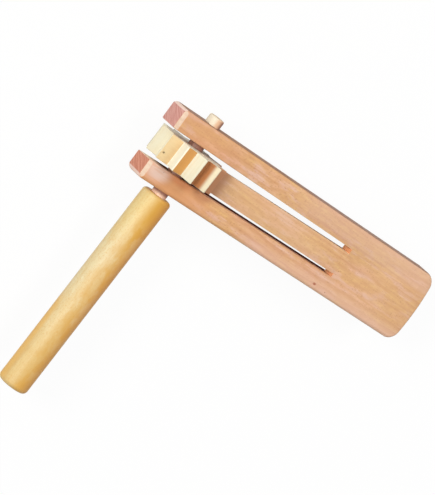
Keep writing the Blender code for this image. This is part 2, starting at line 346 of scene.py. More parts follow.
def make_board():
    board = block("fork_board", BOARD_LOW, BOARD_HIGH)
    pick(board, "VERT", lambda co: near(co.x, BOARD_HIGH.x) and near(co.y, BOARD_HIGH.y))
    move((0, -TAIL_NARROWING, 0))
    pick(board, "VERT", lambda co: near(co.x, ARM_END_X) and near(co.y, BOARD_LOW.y))
    move((ARM_END_SLANT, 0, 0))
    pick(board, "EDGE", lambda middle, way: middle.x > ROOT_X and abs(way.z) > 0.9)
    bevel(TAIL_CORNER, 14)
    bow_tail(board)
    pick(board, "EDGE", lambda middle, way: on_rim(middle) and middle.x > ARM_END_X + SPARE)
    bevel(OUTER_ROUND, 6)
    plane_away(
        (ARM_END_X + ARM_CHAMFER, BOARD_HIGH.y, FRONT_Z),
        (-1, -ARM_END_SLANT / (BOARD_HIGH.y - BOARD_LOW.y), 1),
    )
    round_arm_ends()
    put_down_tools()
    saw_away(board, fork_cutter())

    def arm_inner_arris(middle, way):
        return on_rim(middle) and abs(way.x) > 0.9 and middle.x < ROOT_X and inside_fork(middle)

    pick(board, "EDGE", arm_inner_arris)
    bevel(INNER_ROUND, 4)
    put_down_tools()
    saw_away(board, spindle_bore(BORE_RADIUS, BOARD_LOW.y - SPARE, BOARD_HIGH.y + SPARE))
    merge_close(board, 0.02 * MM)

    def by_the_root(middle):
        return middle.x > ROOT_X - 2 * MM and inside_fork(middle)

    sand_arrises(board, FORK_ARRIS, segments=2, angle=34, spared=by_the_root)
    merge_close(board, 0.002 * MM)
    smooth_faces(board)
    return board


# Springy tongue
def make_tongue():
    """A slat sawn from the same board, thinned from the back towards its tip."""
    tongue = block("spring_tongue", TONGUE_LOW, TONGUE_HIGH)
    root_back = FRONT_Z - TONGUE_ROOT_THICKNESS
    tip_back = FRONT_Z - TONGUE_TIP_THICKNESS
    root_x, tip_x = TONGUE_HIGH.x, TONGUE_LOW.x
    corners = (
        (root_x, TONGUE_HIGH.y, MID_Y + TONGUE_HIGH_EDGE[1]),
        (root_x, TONGUE_LOW.y, MID_Y + TONGUE_LOW_EDGE[1]),
        (tip_x, TONGUE_HIGH.y, MID_Y + TONGUE_HIGH_EDGE[0]),
        (tip_x, TONGUE_LOW.y, MID_Y + TONGUE_LOW_EDGE[0]),
    )
    for at_x, old_y, new_y in corners:
        pick(tongue, "VERT", lambda co: near(co.x, at_x) and near(co.y, old_y))
        move((0, new_y - old_y, 0))
    pick(tongue, "VERT", lambda co: near(co.x, root_x) and near(co.z, TONGUE_LOW.z))
    move((0, 0, root_back - TONGUE_LOW.z))
    pick(tongue, "VERT", lambda co: near(co.x, tip_x) and near(co.z, TONGUE_LOW.z))
    move((TONGUE_TIP_SLANT, 0, tip_back - TONGUE_LOW.z))
    pick(tongue, "VERT", lambda co: near(co.x, root_x))
    move((ROOT_X - root_x, 0, 0))
    pick(tongue, "EDGE", lambda middle, way: abs(way.x) > 0.9)
    bpy.ops.mesh.subdivide(number_cuts=TONGUE_CUTS)
    put_down_tools()

    def at_the_root(middle):
        return near(middle.x, ROOT_X, 0.1 * MM)

    sand_arrises(tongue, FORK_ARRIS, segments=2, angle=34, spared=at_the_root)
    smooth_faces(tongue)
    return tongue


# Cog wheel
def round_axis(radius, angle):
    """A place at this distance from the spindle's axis, at an angle from +Z towards +X."""
    return Vector((AXIS_X + radius * math.sin(angle), MID_Y, AXIS_Z + radius * math.cos(angle)))


def tooth_edges():
    """Radius and angle of the cog's long edges in order: both sides of a tip, then the root after it."""
    for tooth in range(COG_TEETH):
        tip = TIP_ANGLE + tooth * math.tau / COG_TEETH
        yield COG_RADIUS, tip - TIP_WIDTH
        yield COG_RADIUS, tip
        yield COG_ROOT_RADIUS, tip + FALL


def nail_drill():
    put_down_tools()
    length = COG_RADIUS - NAIL_POINT
    bpy.ops.mesh.primitive_cylinder_add(vertices=NAIL_SIDES, radius=NAIL_RADIUS + NAIL_GAP, depth=length)
    drill = bpy.context.object
    drill.location = round_axis(NAIL_POINT + length / 2, NAIL_ANGLE)
    drill.location.y = NAIL_Y
    drill.rotation_euler = (0, NAIL_ANGLE, 0)
    return settle("nail_drill")


def make_cog():
    """A rod with three sides to a tooth, its edges moved to the tips and roots, bored and drilled."""
    cog = rod("toothed_cog", COG_RADIUS, COG_LOW.y, COG_HIGH.y, 3 * COG_TEETH)
    step = math.tau / (3 * COG_TEETH)
    first = round(TIP_ANGLE / step - 0.5)
    for count, (radius, angle) in enumerate(tooth_edges()):
        old = round_axis(COG_RADIUS, (first + count + 0.5) * step)
        pick(cog, "VERT", lambda co: near(co.x, old.x) and near(co.z, old.z))
        move(round_axis(radius, angle) - old)
    put_down_tools()
    saw_away(cog, spindle_bore(BORE_RADIUS, COG_LOW.y - SPARE, COG_HIGH.y + SPARE))
    saw_away(cog, nail_drill())
    nail_line = Vector((math.sin(NAIL_ANGLE), 0, math.cos(NAIL_ANGLE)))

    def round_a_hole(middle):
        from_axis = Vector((middle.x - AXIS_X, 0, middle.z - AXIS_Z))
        from_nail = middle - Vector((AXIS_X, NAIL_Y, AXIS_Z))
        return from_axis.length < COG_BORE_REACH or from_nail.cross(nail_line).length < 1.5 * NAIL_RADIUS

    sand_arrises(cog, COG_EDGE_ROUND, segments=3, angle=30, spared=round_a_hole)
    smooth_faces(cog)
    return cog


# Spindle, handle and nail
def rim_at(level):
    return lambda middle, way: near(middle.y, level) and abs(way.y) < 0.1


def make_spindle():
    spindle = rod("spindle_dowel", SPINDLE_RADIUS, SPINDLE_LOW.y, SPINDLE_HIGH.y, ROD_SIDES)
    pick(spindle, "EDGE", rim_at(SPINDLE_HIGH.y))
    bevel(PEG_ROUND, 6)
    put_down_tools()
    saw_away(spindle, nail_drill())
    merge_close(spindle, 0.01 * MM)
    smooth_faces(spindle)
    return spindle


def make_handle():
    handle = rod("round_handle", HANDLE_RADIUS, HANDLE_LOW.y, HANDLE_HIGH.y, HANDLE_SIDES)
    pick(handle, "EDGE", rim_at(HANDLE_HIGH.y))
    bevel(HANDLE_TOP_ROUND, 8)
    pick(handle, "EDGE", rim_at(HANDLE_LOW.y))
    bevel(HANDLE_END_ROUND, 9)
    pick(handle, "FACE", lambda middle, normal: normal.y > 0.999)
    bpy.ops.mesh.inset(thickness=HANDLE_RADIUS - HANDLE_TOP_ROUND - BORE_RADIUS)
    extrude((0, -SOCKET_DEPTH, 0))
    put_down_tools()
    smooth_faces(handle)
    return handle


def make_nail():
    """A headless nail with a soft blunt end and a point, sunk through a tooth's side."""
    put_down_tools()
    shank = NAIL_END - NAIL_POINT - NAIL_TAPER
    bpy.ops.mesh.primitive_cylinder_add(
        vertices=NAIL_SIDES, radius=NAIL_RADIUS, depth=shank, location=(0, 0, NAIL_END - shank / 2)
    )
    nail = settle("cog_nail")
    pick(nail, "EDGE", lambda middle, way: near(middle.z, NAIL_END))
    bevel(NAIL_END_ROUND, 3)
    pick(nail, "FACE", lambda middle, normal: normal.z < -0.99)
    extrude((0, 0, -NAIL_TAPER))
    bpy.ops.transform.resize(value=(NAIL_POINT_SCALE, NAIL_POINT_SCALE, 1))
    take_up(nail)
    nail.rotation_euler = (0, NAIL_ANGLE, 0)
    nail.location = (AXIS_X, NAIL_Y, AXIS_Z)
    settle("cog_nail")
    smooth_faces(nail)
    return nail


# Shader tools
def feed(tree, sockets, values):
    """Links or sets these sockets, by name or number."""
    for key, value in values.items():
        if isinstance(value, bpy.types.NodeSocket):
            tree.links.new(value, sockets[key])
        else:
            sockets[key].default_value = value


def put(tree, kind, inputs=None, **settings):
    """Adds a node, sets its options and feeds its inputs."""
    made = tree.nodes.new(kind)
    for key, value in settings.items():
        setattr(made, key, value)
    feed(tree, made.inputs, inputs or {})
    return made


def calculate(tree, operation, first, second=0.0, third=0.0):
    return put(tree, "ShaderNodeMath", {0: first, 1: second, 2: third}, operation=operation).outputs[0]


def times(tree, first, second):
    return calculate(tree, "MULTIPLY", first, second)


def opposite(tree, mask):
    return calculate(tree, "SUBTRACT", 1.0, mask)


def either(tree, first, second):
    return calculate(tree, "MAXIMUM", first, second)


def vectors(tree, operation, first, second):
    """A vector made from two others, or the value of their dot product."""
    made = put(tree, "ShaderNodeVectorMath", {0: first, 1: second}, operation=operation)
    return made.outputs["Value" if operation == "DOT_PRODUCT" else "Vector"]


def length_of(tree, vector):
    return put(tree, "ShaderNodeVectorMath", {0: vector}, operation="LENGTH").outputs["Value"]


def scaled(tree, vector, factor):
    made = put(tree, "ShaderNodeVectorMath", {0: vector, "Scale": factor}, operation="SCALE")
    return made.outputs["Vector"]


def stretch(tree, vector, scale):
    return vectors(tree, "MULTIPLY", vector, scale)


def axes(tree, vector):
    return put(tree, "ShaderNodeSeparateXYZ", {0: vector}).outputs


def step_between(tree, value, start, end, low=0.0, high=1.0):
    """A smooth step of the value from low at start to high at end."""
    made = put(
        tree,
        "ShaderNodeMapRange",
        {"Value": value, "From Min": start, "From Max": end, "To Min": low, "To Max": high},
        interpolation_type="SMOOTHSTEP",
    )
    return made.outputs["Result"]


def cloud(tree, vector, scale, detail=2.0, roughness=0.5):
    """A noise value of about 0 to 1 at this scale along each axis."""
    made = put(
        tree,
        "ShaderNodeTexNoise",
        {"Vector": stretch(tree, vector, scale), "Scale": 1.0, "Detail": detail, "Roughness": roughness},
    )
    return made.outputs["Fac"]


def cells(tree, vector, scale):
    """A cell pattern at this scale along each axis."""
    made = put(tree, "ShaderNodeTexVoronoi", {"Vector": stretch(tree, vector, scale), "Scale": 1.0})
    return made.outputs


def colour(red, green, blue):
    """A colour as it shows on screen, 0 to 255, in the shader's linear values."""

    def linear(level):
        level /= 255
        return level / 12.92 if level <= 0.04045 else ((level + 0.055) / 1.055) ** 2.4

    return (linear(red), linear(green), linear(blue), 1.0)


def tint(tree, factor, first, second):
    """Mixes two colours by a factor."""
    inputs = {0: factor, 6: first, 7: second}
    return put(tree, "ShaderNodeMix", inputs, data_type="RGBA", clamp_factor=True).outputs[2]


def stain(tree, wood, mask, amount, shade):
    """Gives the wood this much of another colour where the mask is 1."""
    return tint(tree, times(tree, mask, amount), wood, colour(*shade))


def new_group(name, vectors_in, values_in, values_out):
    """A shader group that takes vectors and values, and gives values."""
    tree = bpy.data.node_groups.new(name, "ShaderNodeTree")
    sockets = [(label, "INPUT", "NodeSocketVector") for label in vectors_in]
    sockets += [(label, "INPUT", "NodeSocketFloat") for label in values_in]
    sockets += [(label, "OUTPUT", "NodeSocketFloat") for label in values_out]
    for label, way, kind in sockets:
        tree.interface.new_socket(name=label, in_out=way, socket_type=kind)
    return tree, tree.nodes.new("NodeGroupInput").outputs, tree.nodes.new("NodeGroupOutput").inputs


def wood_figure_group():
    """Growth rings, fibre streaks, colour clouds and flecks of a wood with its grain along X, in mm."""
    tree, given, result = new_group(
        "wood figure",
        ["Grain"],
        ["Ring Width", "Wander"],
        ["Rings", "Streaks", "Clouds", "Mottle", "Flecks", "Height"],
    )
    grain = given["Grain"]
    drift = put(
        tree,
        "ShaderNodeTexNoise",
        {"Vector": stretch(tree, grain, (0.011, 0.045, 0.045)), "Scale": 1.0, "Detail": 2.0},
    )
    centred = vectors(tree, "SUBTRACT", drift.outputs["Color"], (0.5, 0.5, 0.5))
    wandering = vectors(tree, "ADD", grain, scaled(tree, centred, given["Wander"]))
    radius = length_of(tree, stretch(tree, wandering, (0, 1, 1)))
    phase = calculate(tree, "FRACT", calculate(tree, "DIVIDE", radius, given["Ring Width"]))
    late = times(tree, step_between(tree, phase, 0.25, 0.88), step_between(tree, phase, 1.0, 0.88))
    patchy = step_between(tree, cloud(tree, grain, (0.02, 0.12, 0.12), 3), 0.36, 0.66)
    fine = cloud(tree, grain, (0.045, 1.9, 1.9), 3, 0.65)
    broad = cloud(tree, grain, (0.016, 0.4, 0.4), 2)
    cell = cells(tree, grain, (0.36, 1.9, 1.9))
    chosen = put(tree, "ShaderNodeSeparateColor", {0: cell["Color"]}).outputs[0]
    in_middle = step_between(tree, cell["Distance"], 0.42, 0.14)
    flecks = times(tree, in_middle, step_between(tree, chosen, 0.5, 0.8))
    feed(
        tree,
        result,
        {
            "Rings": times(tree, late, patchy),
            "Streaks": calculate(tree, "MULTIPLY_ADD", fine, 0.5, times(tree, broad, 0.5)),
            "Clouds": cloud(tree, grain, (0.02, 0.075, 0.075), 2),
            "Mottle": cloud(tree, grain, (0.13, 0.42, 0.42), 3, 0.6),
            "Flecks": flecks,
            "Height": calculate(tree, "MULTIPLY_ADD", flecks, -0.5, fine),
        },
    )
    return tree


def end_grain_group():
    """Where the surface faces along the grain, with the cut pores and rays that show there."""
    tree, given, result = new_group("end grain", ["Grain", "Facing"], [], ["Mask", "Pores", "Rays"])
    grain = given["Grain"]
    facing = calculate(tree, "ABSOLUTE", axes(tree, given["Facing"])["X"])
    cell = cells(tree, grain, (0.2, 2.6, 2.6))
    slanted = put(tree, "ShaderNodeMapping", {"Vector": grain, "Rotation": (RAY_SLANT, 0, 0)}).outputs[0]
    feed(
        tree,
        result,
        {
            "Mask": step_between(tree, facing, 0.8, 0.95),
            "Pores": step_between(tree, cell["Distance"], 0.36, 0.12),
            "Rays": cloud(tree, slanted, (0.1, 1.25, 0.07), 3, 0.65),
        },
    )
    return tree


def worn_edge_group():
    """A mask along the arrises, broken up as by handling."""
    tree, given, result = new_group("worn edges", ["Grain"], ["Width", "Evenness"], ["Mask"])
    rounded = put(tree, "ShaderNodeBevel", {"Radius": given["Width"]}, samples=6).outputs["Normal"]
    flat = put(tree, "ShaderNodeNewGeometry").outputs["Normal"]
    edge = step_between(tree, vectors(tree, "DOT_PRODUCT", rounded, flat), 0.995, 0.85)
    broken = step_between(tree, cloud(tree, given["Grain"], (0.12, 0.12, 0.12), 4, 0.65), 0.36, 0.62)
    feed(tree, result, {"Mask": times(tree, edge, either(tree, broken, given["Evenness"]))})
    return tree


def saw_mark_group():
    """Fine scores left across the grain by a saw, in mm."""
    tree, given, result = new_group("saw marks", ["Grain"], ["Spacing"], ["Scores"])
    closer = scaled(tree, given["Grain"], calculate(tree, "DIVIDE", 1.0, given["Spacing"]))
    feed(tree, result, {"Scores": cloud(tree, closer, (1.6, 0.05, 0.12), 2, 0.7)})
    return tree


def handling_group():
    """Smudges of handling, and a few tiny dark specks."""
    tree, given, result = new_group("handling", ["Grain"], [], ["Smudge", "Specks"])
    cell = cells(tree, given["Grain"], (0.12, 0.17, 0.17))
    chosen = put(tree, "ShaderNodeSeparateColor", {0: cell["Color"]}).outputs[1]
    in_middle = step_between(tree, cell["Distance"], 0.075, 0.04)
    specks = times(tree, in_middle, step_between(tree, chosen, 0.84, 0.88))
    smudge = cloud(tree, given["Grain"], (0.06, 0.09, 0.09), 4, 0.6)
    feed(tree, result, {"Smudge": smudge, "Specks": specks})
    return tree


WOOD_FIGURE = wood_figure_group()
END_GRAIN = end_grain_group()
WORN_EDGES = worn_edge_group()
SAW_MARKS = saw_mark_group()
HANDLING = handling_group()


def place_group(tree, group, inputs):
    return put(tree, "ShaderNodeGroup", inputs, node_tree=group).outputs


def new_finish(name):
    finish = bpy.data.materials.new(name)
    finish.use_nodes = True
    tree = finish.node_tree
    return finish, tree, tree.nodes["Principled BSDF"]


def grain_space(tree, centre, turn):
    """Object coordinates in mm with the pith line as X, and the surface's normal turned the same way."""
    place = put(tree, "ShaderNodeTexCoord").outputs
    from_pith = vectors(tree, "SUBTRACT", place["Object"], centre)
    inputs = {"Vector": from_pith, "Rotation": turn, "Scale": (1 / MM,) * 3}
    grain = put(tree, "ShaderNodeMapping", inputs)
    inputs = {"Vector": place["Normal"], "Rotation": turn}
    facing = put(tree, "ShaderNodeMapping", inputs, vector_type="VECTOR")
    return place, grain.outputs[0], facing.outputs[0]


def wood_basis(tree, pith, turn, ring_width, wander, worn_width, evenness):
    """What every wood here has: coordinates, figure, cut ends, worn edges and handling."""
    place, grain, facing = grain_space(tree, pith, turn)
    figure = place_group(tree, WOOD_FIGURE, {"Grain": grain, "Ring Width": ring_width, "Wander": wander})
    cut_end = place_group(tree, END_GRAIN, {"Grain": grain, "Facing": facing})
    wear = place_group(tree, WORN_EDGES, {"Grain": grain, "Width": worn_width, "Evenness": evenness})
    hands = place_group(tree, HANDLING, {"Grain": grain})
    return place, grain, figure, cut_end, wear["Mask"], hands


def facing_way(tree, place, way, start, end):
    """1 where the surface faces this way."""
    match = vectors(tree, "DOT_PRODUCT", place["Normal"], Vector(way).normalized())
    return step_between(tree, match, start, end)


def board_mark(tree, place, along, aside, half_length, half_width):
    """A soft oval mark on the board's front face, this far from the arms' ends and from the middle."""
    centre = (ARM_END_X + along, MID_Y + aside, FRONT_Z)
    apart = vectors(tree, "SUBTRACT", place["Object"], centre)
    oval = stretch(tree, apart, (1 / half_length, 1 / half_width, 1 / half_width))
    return step_between(tree, length_of(tree, oval), 1.0, 0.3)


def bumps(tree, height, strength, distance):
    inputs = {"Height": height, "Strength": strength, "Distance": distance}
    return put(tree, "ShaderNodeBump", inputs).outputs[0]


# Finishes
def lacquered_beech():
    """Pinkish orange beech for the board and its tongue, with the grain along the board."""
    finish, tree, shader = new_finish("lacquered_beech")
    pith = (130 * MM, MID_Y - 96 * MM, BACK_Z - 70 * MM)
    turn = (0, math.radians(0.5), math.radians(0.9))
    place, grain, figure, cut_end, wear, hands = wood_basis(
        tree, pith, turn, ring_width=3.1, wander=7.0, worn_width=0.9 * MM, evenness=0.35
    )
    scores = place_group(tree, SAW_MARKS, {"Grain": grain, "Spacing": 1.3})["Scores"]
    here = axes(tree, place["Object"])
    off_middle = calculate(tree, "SUBTRACT", here["Y"], MID_Y)
    from_middle = calculate(tree, "ABSOLUTE", off_middle)

    # Yellower and pinker stretches, with fine fibre lines, faint rings and short dark flecks.
    patch = step_between(tree, figure["Clouds"], 0.36, 0.64)
    wood = tint(tree, patch, colour(237, 195, 132), colour(239, 189, 162))
    mottle = step_between(tree, figure["Mottle"], 0.3, 0.7)
    wood = stain(tree, wood, mottle, 0.85, (219, 168, 123))
    bloom = step_between(tree, cloud(tree, grain, (0.045, 0.15, 0.15), 3, 0.6), 0.5, 0.68)
    wood = stain(tree, wood, bloom, 0.75, (238, 199, 184))
    fibre = step_between(tree, figure["Streaks"], 0.32, 0.68)
    wood = stain(tree, wood, fibre, 0.7, (216, 159, 108))
    wood = stain(tree, wood, figure["Rings"], 0.42, (200, 136, 94))
    wood = stain(tree, wood, figure["Flecks"], 0.62, (180, 114, 78))

    # The tongue is a little paler, and the arms are redder round the cog.
    on_tongue = step_between(tree, from_middle, 11.6 * MM, 11.2 * MM)
    by_tip = step_between(tree, here["X"], ROOT_X + 15 * MM, ROOT_X - 50 * MM)
    wood = stain(tree, wood, times(tree, on_tongue, by_tip), 0.27, (246, 208, 162))
    by_cog = step_between(tree, here["X"], ARM_END_X + 86 * MM, ARM_END_X + 30 * MM)
    by_cog = times(tree, by_cog, opposite(tree, on_tongue))
    low_side = step_between(tree, off_middle, 6 * MM, -14 * MM, 0.12, 0.75)
    wood = tint(tree, times(tree, by_cog, low_side), wood, colour(234, 165, 104))
    wood = stain(tree, wood, by_cog, 0.3, (204, 150, 116))

    # The lower arm is rubbed pale behind its chamfer and redder beside the cog, where a painted shadow
    # of the cog darkens it further on.
    uneven = step_between(tree, figure["Streaks"], 0.64, 0.42, 0.4, 1.0)
    marked = times(tree, uneven, board_mark(tree, place, 12 * MM, -16 * MM, 17 * MM, 12 * MM))
    wood = stain(tree, wood, marked, 0.9, (234, 204, 190))
    reddened = times(tree, uneven, board_mark(tree, place, 34 * MM, -14.6 * MM, 20 * MM, 6 * MM))
    wood = stain(tree, wood, reddened, 0.6, (222, 136, 90))
    # Painted shadow cast by the cog onto the lower arm.
    painted_cog_shadow = board_mark(tree, place, 56 * MM, -14.6 * MM, 13 * MM, 7 * MM)
    wood = stain(tree, wood, painted_cog_shadow, 0.6, (182, 120, 84))

    # The board is pinker along both long edges towards the tail, and paler at the solid end.
    far_edge = times(
        tree,
        step_between(tree, here["X"], ARM_END_X + 90 * MM, ARM_END_X + 130 * MM),
        step_between(tree, off_middle, -15 * MM, -24 * MM),
    )
    wood = stain(tree, wood, far_edge, 0.45, (240, 198, 180))
    far_edge = times(
        tree,
        step_between(tree, here["X"], ARM_END_X + 110 * MM, ARM_END_X + 150 * MM),
        step_between(tree, off_middle, 9 * MM, 15 * MM),
    )
    wood = stain(tree, wood, far_edge, 0.32, (236, 198, 184))
    solid_end = step_between(tree, here["X"], ARM_END_X + 150 * MM, ARM_END_X + 250 * MM)
    wood = stain(tree, wood, solid_end, 0.25, (240, 198, 156))

    # The arms' end grain is pinkish red, and the sawn walls at the tongue's root are browner.
    at_arm_end = step_between(tree, here["X"], ARM_END_X + 20 * MM, ARM_END_X + 10 * MM)
    rays = step_between(tree, cut_end["Rays"], 0.34, 0.66)
    high_end = tint(tree, rays, colour(194, 132, 122), colour(219, 168, 156))
    low_end = tint(tree, rays, colour(190, 120, 96), colour(217, 154, 130))
    red_end = tint(tree, step_between(tree, off_middle, -4 * MM, 4 * MM), low_end, high_end)
    brown_end = tint(tree, rays, colour(228, 160, 112), colour(238, 174, 126))
    end = tint(tree, at_arm_end, brown_end, red_end)
    end = stain(tree, end, cut_end["Pores"], 0.35, (140, 82, 70))
    wood = tint(tree, cut_end["Mask"], wood, end)

    # Painted shade darkens the board's upper long side face, and the arms' outer end corners are rubbed
    # pale.
    at_high_edge = step_between(tree, off_middle, 20 * MM, 24 * MM)
    painted_shade_high_side = times(tree, facing_way(tree, place, (0, 1, 0), 0.75, 0.95), at_high_edge)
    wood = stain(tree, wood, painted_shade_high_side, 0.75, (124, 84, 68))
    high_corner = facing_way(tree, place, (-1, 1, 0), 0.84, 0.94)
    low_corner = facing_way(tree, place, (-1, -1, 0), 0.84, 0.94)
    corner = times(tree, either(tree, high_corner, low_corner), at_arm_end)
    wood = stain(tree, wood, corner, 0.8, (240, 216, 204))

    # The chamfers are paler than the board.
    chamfer = facing_way(tree, place, (-1, 0, 1), 0.965, 0.99)
    pale = tint(tree, mottle, colour(228, 206, 184), colour(219, 191, 166))
    wood = tint(tree, times(tree, chamfer, 0.9), wood, pale)

    # The arms' sawn inner faces are scored across the grain. Painted light pales them at their free
    # ends, and painted shade darkens them further in.
    inner = either(
        tree,
        step_between(tree, off_middle, 8.4 * MM, 9.4 * MM),
        step_between(tree, off_middle, -11.6 * MM, -12.6 * MM),
    )
    inner = times(tree, inner, step_between(tree, from_middle, 17 * MM, 15 * MM))
    sideways = calculate(tree, "ABSOLUTE", axes(tree, place["Normal"])["Y"])
    sawn = times(tree, inner, step_between(tree, sideways, 0.7, 0.95))
    sawn = times(tree, sawn, step_between(tree, here["Z"], AXIS_Z + 5 * MM, AXIS_Z + 1 * MM))
    painted_light_by_end = step_between(tree, here["X"], ARM_END_X + 19 * MM, ARM_END_X + 15 * MM)
    wood = stain(tree, wood, times(tree, sawn, painted_light_by_end), 0.8, (246, 226, 206))
    sawn = times(tree, sawn, opposite(tree, painted_light_by_end))
    # Painted shade in the slots, varying with the saw scores.
    painted_slot_shade = tint(tree, scores, colour(104, 44, 30), colour(132, 66, 46))
    wood = tint(tree, times(tree, sawn, 0.95), wood, painted_slot_shade)

    # Painted light pales the tongue's upper side, and a painted shadow of the cog darkens its tip.
    painted_light_upper_side = times(tree, on_tongue, facing_way(tree, place, (0, 1, 0), 0.4, 0.8))
    wood = stain(tree, wood, painted_light_upper_side, 0.85, (250, 222, 186))
    painted_tip_shadow = step_between(tree, here["X"], TONGUE_LOW.x + 13 * MM, TONGUE_LOW.x + 3 * MM)
    wood = stain(tree, wood, times(tree, on_tongue, painted_tip_shadow), 0.8, (192, 134, 96))

    # Nothing is worn where the tongue leaves the board.
    off_root = calculate(tree, "ABSOLUTE", calculate(tree, "SUBTRACT", here["X"], ROOT_X))
    worn = times(tree, wear, step_between(tree, off_root, 0.8 * MM, 2.6 * MM))
    wood = stain(tree, wood, worn, 0.3, (240, 208, 176))
    wood = stain(tree, wood, hands["Specks"], 0.7, (150, 78, 52))

    # One tiny red knot shows on the lower arm near the tongue's root.
    knot = board_mark(tree, place, 186.5 * MM, -23.4 * MM, 2.1 * MM, 1.3 * MM)
    wood = stain(tree, wood, knot, 0.8, (164, 78, 52))

    # The lacquer is duller on the cut ends, and the sawn inner faces have none.
    rough = step_between(tree, hands["Smudge"], 0.3, 0.7, 0.54, 0.66)
    height = calculate(tree, "MULTIPLY_ADD", times(tree, scores, sawn), 1.6, figure["Height"])
    coated = opposite(tree, sawn)
    feed(
        tree,
        shader.inputs,
        {
            "Base Color": wood,
            "Roughness": calculate(tree, "MULTIPLY_ADD", cut_end["Mask"], 0.18, rough),
            "Normal": bumps(tree, height, 0.35, 0.12 * MM),
            "Specular IOR Level": times(tree, coated, 0.24),
            "Coat Weight": times(tree, coated, 0.02),
            "Coat Roughness": 0.45,
        },
    )
    return finish


def pale_limewood():
    """Cream limewood cog; the amber on its teeth's falling sides is part varnish, part painted shade."""
    finish, tree, shader = new_finish("pale_limewood")
    pith = (AXIS_X + 9 * MM, MID_Y, AXIS_Z - 30 * MM)
    place, grain, figure, cut_end, wear, hands = wood_basis(
        tree, pith, ACROSS_TURN, ring_width=2.2, wander=4.0, worn_width=0.6 * MM, evenness=0.5
    )
    scores = place_group(tree, SAW_MARKS, {"Grain": grain, "Spacing": 1.0})["Scores"]

    fibre = step_between(tree, figure["Streaks"], 0.3, 0.7)
    wood = tint(tree, fibre, colour(232, 229, 206), colour(228, 220, 190))
    wood = stain(tree, wood, figure["Rings"], 0.3, (220, 200, 154))
    wood = stain(tree, wood, figure["Flecks"], 0.12, (206, 176, 128))
    rays = step_between(tree, cut_end["Rays"], 0.3, 0.7)
    end = tint(tree, rays, colour(232, 224, 202), colour(240, 234, 216))
    end = stain(tree, end, cut_end["Pores"], 0.4, (204, 184, 150))

    # Painted light makes one tooth palest. Amber on the falling side of each tooth is partly varnish and
    # partly painted shade, and painted shadow browns the roots and teeth on the side towards the tongue.
    from_axis = vectors(tree, "SUBTRACT", place["Object"], (AXIS_X, 0, AXIS_Z))
    aside = axes(tree, from_axis)
    angle = calculate(tree, "DEGREES", calculate(tree, "ARCTAN2", aside["X"], aside["Z"]))
    flat = stretch(tree, from_axis, (1, 0, 1))
    radius = length_of(tree, flat)
    outward = put(tree, "ShaderNodeVectorMath", {0: flat}, operation="NORMALIZE").outputs["Vector"]
    onward = vectors(tree, "CROSS_PRODUCT", (0, 1, 0), outward)
    lean = vectors(tree, "DOT_PRODUCT", place["Normal"], onward)
    amber_and_shade_sector = times(tree, step_between(tree, angle, -108, -8), step_between(tree, angle, 110, 55))
    # Painted light on a tooth that faces away from the key.
    painted_light_tooth = times(tree, step_between(tree, angle, -70, -62), step_between(tree, angle, -43, -48))
    wood = stain(tree, wood, painted_light_tooth, 0.8, (248, 243, 220))
    by_tongue = step_between(tree, angle, -8, 0)
    wood = stain(tree, wood, by_tongue, 0.5, (238, 220, 182))
    thicker = step_between(tree, amber_and_shade_sector, 0.2, 0.7)
    amber = tint(tree, thicker, colour(229, 203, 152), colour(218, 152, 68))
    amber = tint(tree, step_between(tree, amber_and_shade_sector, 0.85, 1.0), amber, colour(172, 97, 32))
    painted_shadow_far_side = step_between(tree, angle, 24, 32)
    # Painted shadow on the teeth beside the tongue, where the cog shades itself.
    amber = tint(tree, painted_shadow_far_side, amber, colour(206, 140, 100))
    amber = stain(tree, amber, scores, 0.2, (178, 114, 58))
    open_side = opposite(tree, cut_end["Mask"])
    falling = step_between(tree, lean, 0.25, 0.6)
    # Painted shadow in the roots on the side towards the tongue.
    painted_shadow_in_root = step_between(tree, radius, COG_ROOT_RADIUS + 5.2 * MM, COG_ROOT_RADIUS + 2.6 * MM)
    painted_shadow_in_root = times(tree, painted_shadow_in_root, step_between(tree, angle, -10, -2))
    amber_and_shade_mask = either(tree, either(tree, falling, painted_shadow_in_root), painted_shadow_far_side)
    amber_and_shade_mask = times(tree, times(tree, amber_and_shade_mask, open_side), step_between(tree, amber_and_shade_sector, 0.0, 0.12))
    wood = tint(tree, times(tree, amber_and_shade_mask, 0.92), wood, amber)
    wood = tint(tree, cut_end["Mask"], wood, end)
    wood = stain(tree, wood, times(tree, wear, open_side), 0.35, (238, 228, 196))

    # Painted shade darkens the rim beside the upper arm.
    painted_shade_rim = times(tree, step_between(tree, wear, 0.05, 0.3), facing_way(tree, place, (0, 1, 0), 0.5, 0.8))
    wood = stain(tree, wood, painted_shade_rim, 0.85, (84, 54, 38))
    wood = stain(tree, wood, hands["Specks"], 0.4, (170, 120, 70))
    height = calculate(tree, "MULTIPLY_ADD", times(tree, scores, amber_and_shade_mask), 1.4, figure["Height"])
    feed(
        tree,
        shader.inputs,
        {
            "Base Color": wood,
            "Roughness": step_between(tree, hands["Smudge"], 0.3, 0.7, 0.44, 0.58),
            "Normal": bumps(tree, height, 0.3, 0.1 * MM),
            "Specular IOR Level": 0.2,
        },
    )
    return finish


